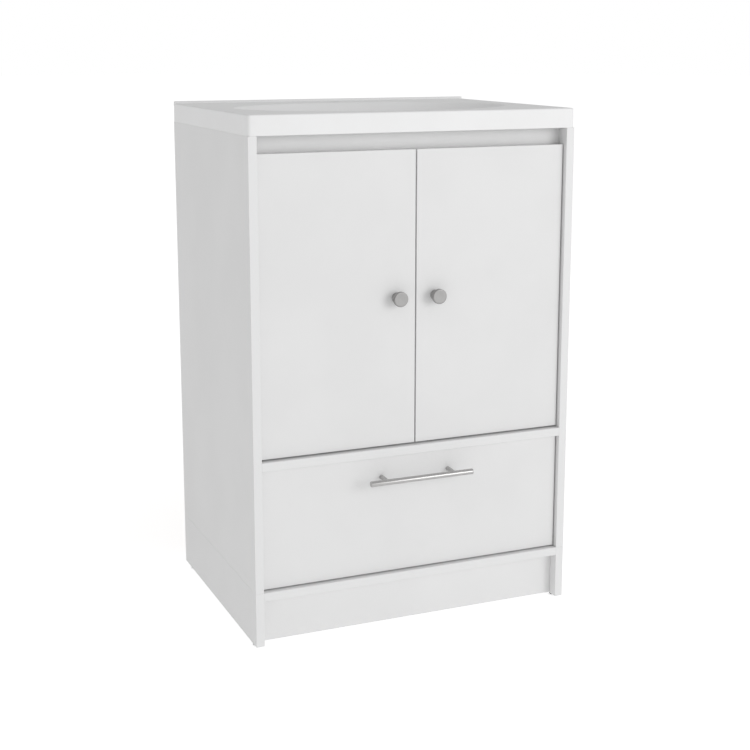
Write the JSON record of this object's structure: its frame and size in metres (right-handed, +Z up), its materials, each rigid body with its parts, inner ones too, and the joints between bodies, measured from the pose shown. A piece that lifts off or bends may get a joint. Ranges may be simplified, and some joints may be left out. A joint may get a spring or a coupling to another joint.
{
  "type": "bathroom vanity cabinet",
  "caption": "White free-standing vanity cabinet with a one-piece sink top, inset doors with round knobs and an inset drawer with a bar pull.",
  "frame": {"origin": "on the floor, in the middle of the whole width and depth, the depth running from the front of the bar pull to the cabinet's back", "axes": "+Z up, +X to the right of someone facing the doors, the doors face -Y"},
  "size_m": [0.6, 0.481, 0.911],
  "materials": {
    "white_melamine": "satin white melamine foil on particle board, with a faint fine texture",
    "sink_white": "gloss white cast polymer marble",
    "hardboard": "white-faced hardboard",
    "beech_dowel": "plain fluted beech",
    "satin_nickel": "satin nickel plate",
    "hinge_steel": "nickel-plated pressed steel",
    "slide_steel": "zinc-plated rolled steel",
    "zinc_fastener": "zinc-plated",
    "glide_plastic": "dark nylon"
  },
  "bodies": {
    "cabinet": {"side_panel_left": "white_melamine", "side_panel_right": "white_melamine", "base_side_left": "white_melamine", "base_side_right": "white_melamine", "bottom_shelf": "white_melamine", "middle_shelf": "white_melamine", "plinth_front": "white_melamine", "plinth_rear": "white_melamine", "top_rail_front": "white_melamine", "top_rail_rear": "white_melamine", "back_panel": "hardboard", "back_nails": "zinc_fastener", "sink_top": "sink_white", "glide_left_front": "glide_plastic", "glide_left_rear": "glide_plastic", "glide_right_front": "glide_plastic", "glide_right_rear": "glide_plastic", "cam_bolts": "zinc_fastener", "cam_locks": "zinc_fastener", "dowels": "beech_dowel", "stack_dowels": "beech_dowel", "left_hinge_arms": "hinge_steel", "right_hinge_arms": "hinge_steel", "left_hinge_plates": "hinge_steel", "right_hinge_plates": "hinge_steel", "hinge_screws": "zinc_fastener", "slide_cabinet_left": "slide_steel", "slide_cabinet_right": "slide_steel", "slide_screws": "zinc_fastener"},
    "left_door": {"left_door": "white_melamine", "left_knob": "satin_nickel", "knob_screw_left": "zinc_fastener", "left_hinge_cups": "hinge_steel", "left_cup_screws": "zinc_fastener"},
    "right_door": {"right_door": "white_melamine", "right_knob": "satin_nickel", "knob_screw_right": "zinc_fastener", "right_hinge_cups": "hinge_steel", "right_cup_screws": "zinc_fastener"},
    "left_links": {"left_hinge_links": "hinge_steel"},
    "right_links": {"right_hinge_links": "hinge_steel"},
    "drawer": {"drawer_front": "white_melamine", "drawer_side_left": "white_melamine", "drawer_side_right": "white_melamine", "drawer_back": "white_melamine", "drawer_bottom": "hardboard", "drawer_bolts": "zinc_fastener", "drawer_dowels": "beech_dowel", "drawer_cams": "zinc_fastener", "drawer_screws": "zinc_fastener", "slide_drawer_left": "slide_steel", "slide_drawer_right": "slide_steel", "drawer_slide_screws": "zinc_fastener", "pull_bar": "satin_nickel", "pull_posts": "satin_nickel", "pull_screws": "zinc_fastener"},
    "left_slide_middle": {"slide_middle_left": "slide_steel"},
    "right_slide_middle": {"slide_middle_right": "slide_steel"}
  },
  "joints": [
    {"name": "left_door_swing", "type": "hinge", "parent": "cabinet", "child": "left_door", "pos_m": [-0.2748, -0.1982, 0.588], "axis": [0, 0, -1], "range_deg": [0, 100]},
    {"name": "right_door_swing", "type": "hinge", "parent": "cabinet", "child": "right_door", "pos_m": [0.2748, -0.1982, 0.588], "axis": [0, 0, 1], "range_deg": [0, 100]},
    {"name": "left_link_turn", "type": "hinge", "parent": "left_door", "child": "left_links", "pos_m": [-0.268, -0.1935, 0.583], "axis": [0, 0, 1], "range_deg": [0, 100]},
    {"name": "right_link_turn", "type": "hinge", "parent": "right_door", "child": "right_links", "pos_m": [0.268, -0.1935, 0.583], "axis": [0, 0, -1], "range_deg": [0, 100]},
    {"name": "drawer_slide", "type": "slide", "parent": "cabinet", "child": "drawer", "axis": [0, -1, 0], "range_m": [0, 0.38]},
    {"name": "left_slide_middle_run", "type": "slide", "parent": "cabinet", "child": "left_slide_middle", "axis": [0, -1, 0], "range_m": [0, 0.19]},
    {"name": "right_slide_middle_run", "type": "slide", "parent": "cabinet", "child": "right_slide_middle", "axis": [0, -1, 0], "range_m": [0, 0.19]}
  ],
  "couplings": [
    {"joint": "left_link_turn", "follows": "left_door_swing", "ratio": 1},
    {"joint": "right_link_turn", "follows": "right_door_swing", "ratio": 1},
    {"joint": "left_slide_middle_run", "follows": "drawer_slide", "ratio": 0.5},
    {"joint": "right_slide_middle_run", "follows": "drawer_slide", "ratio": 0.5}
  ]
}
